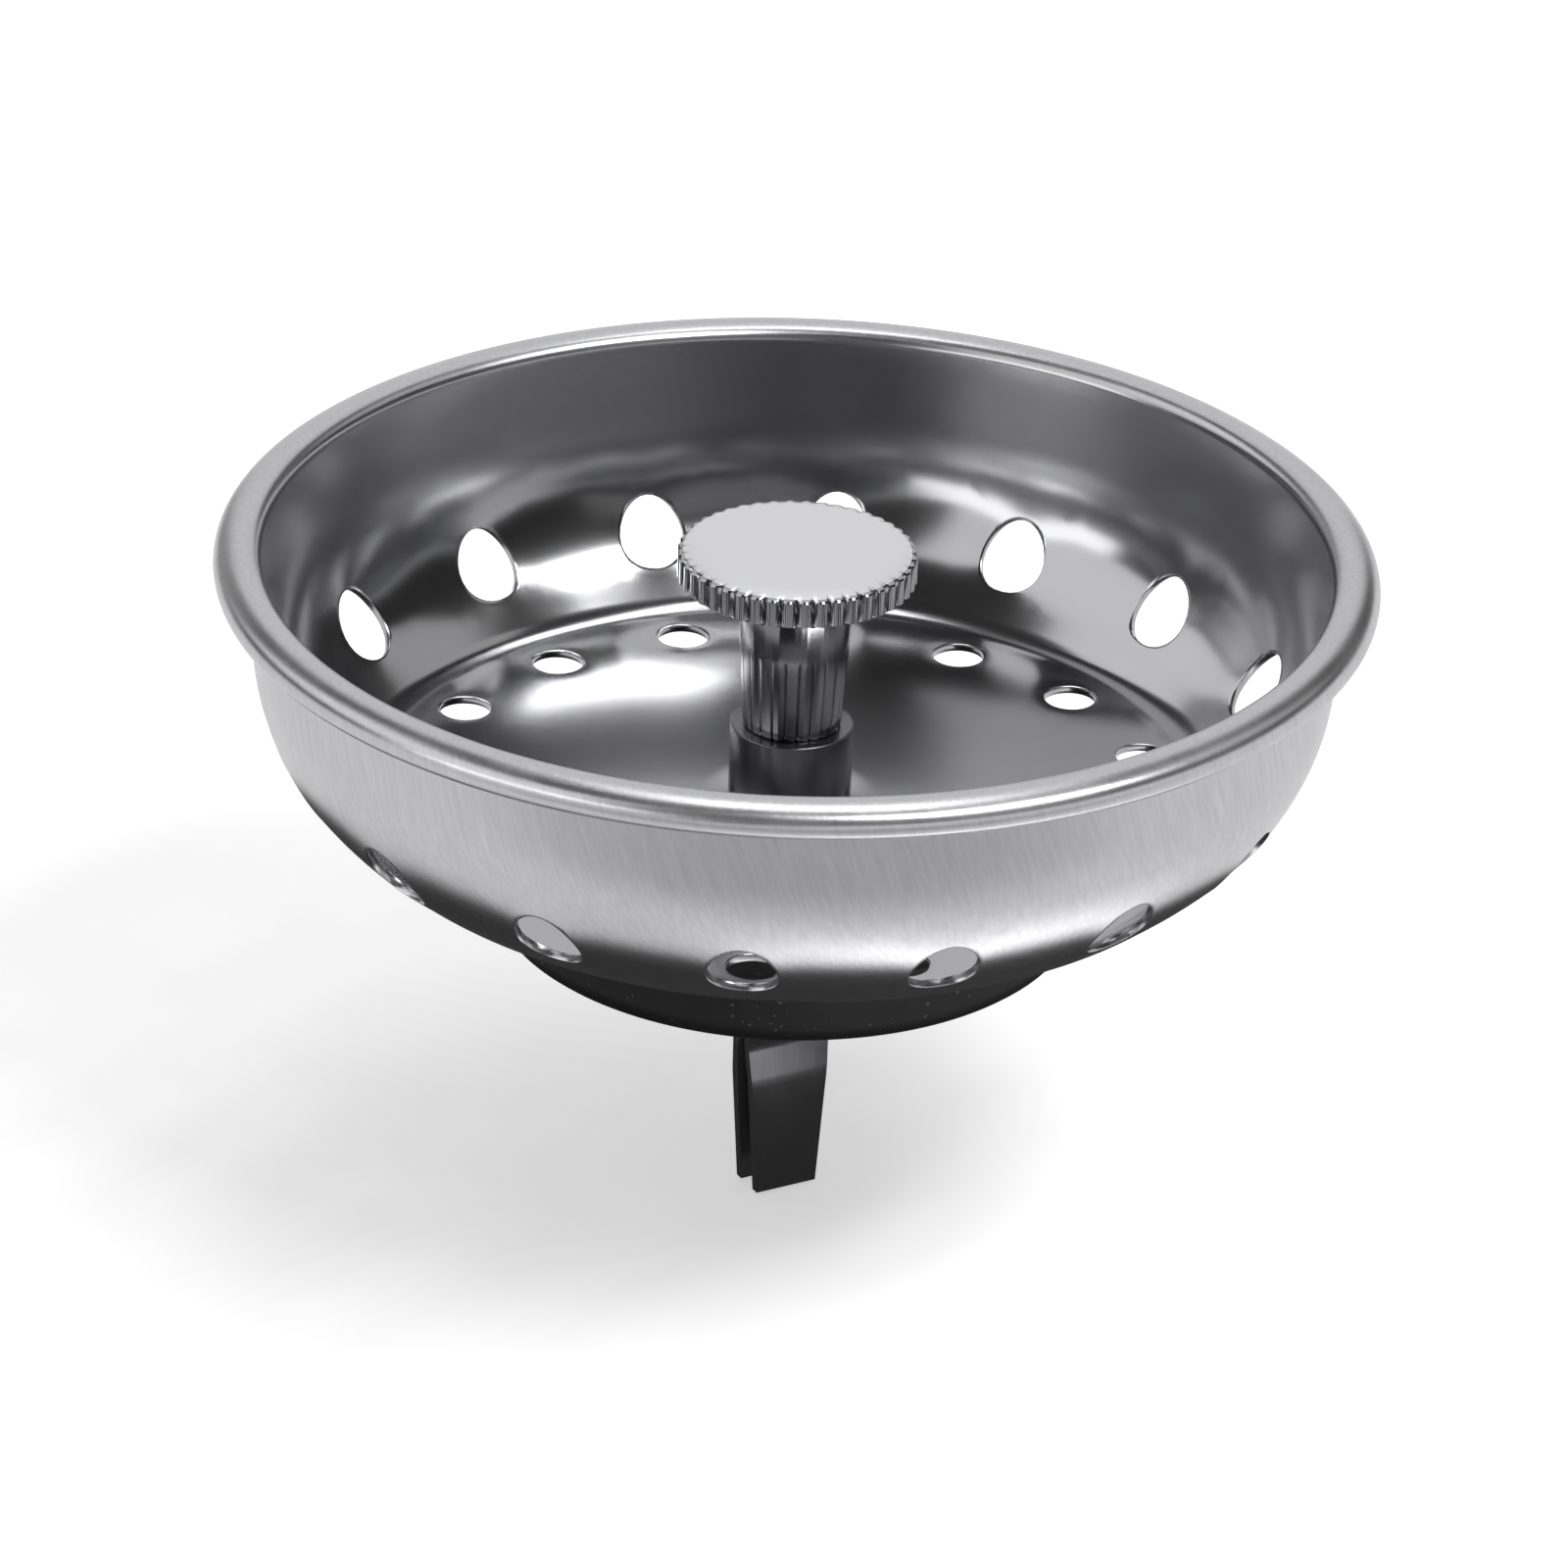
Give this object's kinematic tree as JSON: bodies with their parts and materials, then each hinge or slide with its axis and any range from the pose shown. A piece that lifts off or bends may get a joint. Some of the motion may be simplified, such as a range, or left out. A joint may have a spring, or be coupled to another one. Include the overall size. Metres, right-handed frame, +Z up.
{
  "type": "sink basket strainer",
  "caption": "Round sheet-steel sink basket with a curled rim and punched drain holes, a knurled lifting knob on a fluted post, a rubber stopper and a sprung clip below.",
  "frame": {"origin": "centre of the rubber stopper's sealing face, which lies on the drain's seat", "axes": "+Z up along the post, -Y towards the front leg of the clip, +X along the clip's width"},
  "size_m": [0.0824, 0.0824, 0.0509],
  "materials": {
    "stainless_sheet": "drawn stainless sheet, polished inside with fine brush marks on the outside wall",
    "chrome_plate": "satin chrome plating on a casting",
    "black_rubber": "moulded black rubber, slightly dusty",
    "zinc_plate": "dull zinc-plated steel",
    "spring_steel": "rolled stainless spring strip, smooth"
  },
  "bodies": {
    "strainer": {"basket_shell": "stainless_sheet", "knob": "chrome_plate", "post_sleeve": "chrome_plate", "rubber_stopper": "black_rubber", "backing_washer": "zinc_plate", "clamp_screw": "zinc_plate", "clip_bridge": "spring_steel"},
    "front_leg": {"clip_leg_front": "spring_steel"},
    "rear_leg": {"clip_leg_rear": "spring_steel"}
  },
  "joints": [
    {"name": "front_leg_flex", "type": "hinge", "parent": "strainer", "child": "front_leg", "pos_m": [0, -0.00395, -0.001], "axis": [1, 0, 0], "range_deg": [0, 2], "stiffness_Nm_per_rad": 1.5},
    {"name": "rear_leg_flex", "type": "hinge", "parent": "strainer", "child": "rear_leg", "pos_m": [0, 0.00395, -0.001], "axis": [-1, 0, 0], "range_deg": [0, 2], "stiffness_Nm_per_rad": 1.5}
  ]
}
